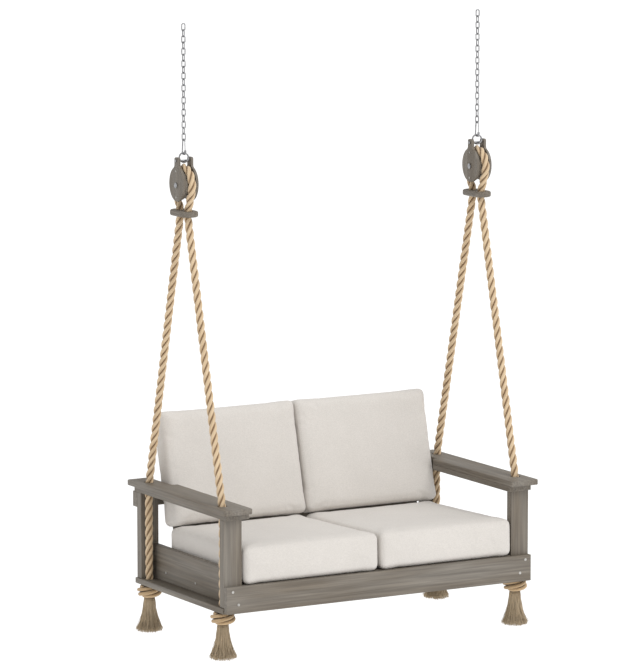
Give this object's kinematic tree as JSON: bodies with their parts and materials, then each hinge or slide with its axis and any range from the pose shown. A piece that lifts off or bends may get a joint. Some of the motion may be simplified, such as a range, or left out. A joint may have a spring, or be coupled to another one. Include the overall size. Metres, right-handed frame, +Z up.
{
  "type": "porch swing",
  "caption": "Cushioned bench swing of weathered boards, hung on thick rope legs that pass over pulley blocks to steel chains.",
  "frame": {"origin": "midway between the two top chain links, where ceiling hooks bear on them", "axes": "+X along the bench, +Y towards the back, +Z up"},
  "size_m": [1.61, 0.9212, 2.7395],
  "materials": {
    "driftwood_board": "matte",
    "weave": "matte",
    "rope": "matte",
    "steel": "satin"
  },
  "bodies": {
    "hangers": {"top_links": "steel"},
    "left_upper_link": {"left_second_link": "steel"},
    "right_upper_link": {"right_second_link": "steel"},
    "left_chain": {"left_chain_run": "steel"},
    "right_chain": {"right_chain_run": "steel"},
    "left_snap": {"left_carabiner": "steel"},
    "right_snap": {"right_carabiner": "steel"},
    "left_snap_gate": {"left_gate": "steel"},
    "right_snap_gate": {"right_gate": "steel"},
    "left_wheel": {"left_sheave": "driftwood_board"},
    "right_wheel": {"right_sheave": "driftwood_board"},
    "bench": {"apron_screws": "steel", "back_rail": "driftwood_board", "back_slats": "driftwood_board", "back_stiles": "driftwood_board", "block_screws": "steel", "front_apron": "driftwood_board", "front_beam": "driftwood_board", "front_left_knot": "rope", "front_left_post": "driftwood_board", "front_left_tassel": "rope", "front_right_knot": "rope", "front_right_post": "driftwood_board", "front_right_tassel": "rope", "left_arm_board": "driftwood_board", "left_arm_rail": "driftwood_board", "left_back_cushion": "weave", "left_block_inner_cheek": "driftwood_board", "left_block_outer_cheek": "driftwood_board", "left_block_top_pin": "steel", "left_fairlead": "driftwood_board", "left_ring": "steel", "left_rope": "rope", "left_rope_ledge": "driftwood_board", "left_seat_cushion": "weave", "left_sheave_pin": "steel", "left_side_panel": "driftwood_board", "panel_screws": "steel", "rear_apron": "driftwood_board", "rear_left_knot": "rope", "rear_left_post": "driftwood_board", "rear_left_tassel": "rope", "rear_right_knot": "rope", "rear_right_post": "driftwood_board", "rear_right_tassel": "rope", "right_arm_board": "driftwood_board", "right_arm_rail": "driftwood_board", "right_back_cushion": "weave", "right_block_inner_cheek": "driftwood_board", "right_block_outer_cheek": "driftwood_board", "right_block_top_pin": "steel", "right_fairlead": "driftwood_board", "right_ring": "steel", "right_rope": "rope", "right_rope_ledge": "driftwood_board", "right_seat_cushion": "weave", "right_sheave_pin": "steel", "right_side_panel": "driftwood_board", "seat_bearers": "driftwood_board", "seat_slats": "driftwood_board"}
  },
  "joints": [
    {"name": "swing", "type": "hinge", "parent": "hangers", "child": "left_upper_link", "pos_m": [-0.744, 0, -0.0292], "axis": [1, 0, 0], "range_deg": [-20, 20]},
    {"name": "right_swing", "type": "hinge", "parent": "hangers", "child": "right_upper_link", "pos_m": [0.744, 0, -0.0292], "axis": [1, 0, 0], "range_deg": [-20, 20]},
    {"name": "sway", "type": "hinge", "parent": "left_upper_link", "child": "left_chain", "pos_m": [-0.744, 0, -0.0556], "axis": [0, 1, 0], "range_deg": [-8, 8]},
    {"name": "right_sway", "type": "hinge", "parent": "right_upper_link", "child": "right_chain", "pos_m": [0.744, 0, -0.0556], "axis": [0, 1, 0], "range_deg": [-8, 8]},
    {"name": "left_level", "type": "hinge", "parent": "left_chain", "child": "left_snap", "pos_m": [-0.744, 0, -0.4986], "axis": [0, 1, 0], "range_deg": [-8, 8]},
    {"name": "right_level", "type": "hinge", "parent": "right_chain", "child": "right_snap", "pos_m": [0.744, 0, -0.4986], "axis": [0, 1, 0], "range_deg": [-8, 8]},
    {"name": "bench_rock", "type": "hinge", "parent": "left_snap", "child": "bench", "pos_m": [-0.744, 0, -0.5578], "axis": [1, 0, 0], "range_deg": [-10, 10]},
    {"name": "left_gate_hinge", "type": "hinge", "parent": "left_snap", "child": "left_snap_gate", "pos_m": [-0.744, -0.0122, -0.5491], "axis": [-1, 0, 0], "range_deg": [0, 20], "stiffness_Nm_per_rad": 0.02, "springref_deg": -17.19},
    {"name": "right_gate_hinge", "type": "hinge", "parent": "right_snap", "child": "right_snap_gate", "pos_m": [0.744, -0.0122, -0.5491], "axis": [-1, 0, 0], "range_deg": [0, 20], "stiffness_Nm_per_rad": 0.02, "springref_deg": -17.19},
    {"name": "left_sheave_turn", "type": "hinge", "parent": "bench", "child": "left_wheel", "pos_m": [-0.744, 0, -0.6973], "axis": [1, 0, 0], "continuous": true},
    {"name": "right_sheave_turn", "type": "hinge", "parent": "bench", "child": "right_wheel", "pos_m": [0.744, 0, -0.6973], "axis": [1, 0, 0], "continuous": true}
  ],
  "couplings": [
    {"joint": "right_swing", "follows": "swing", "ratio": 1},
    {"joint": "right_sway", "follows": "sway", "ratio": 1},
    {"joint": "left_level", "follows": "sway", "ratio": -1},
    {"joint": "right_level", "follows": "sway", "ratio": -1}
  ]
}
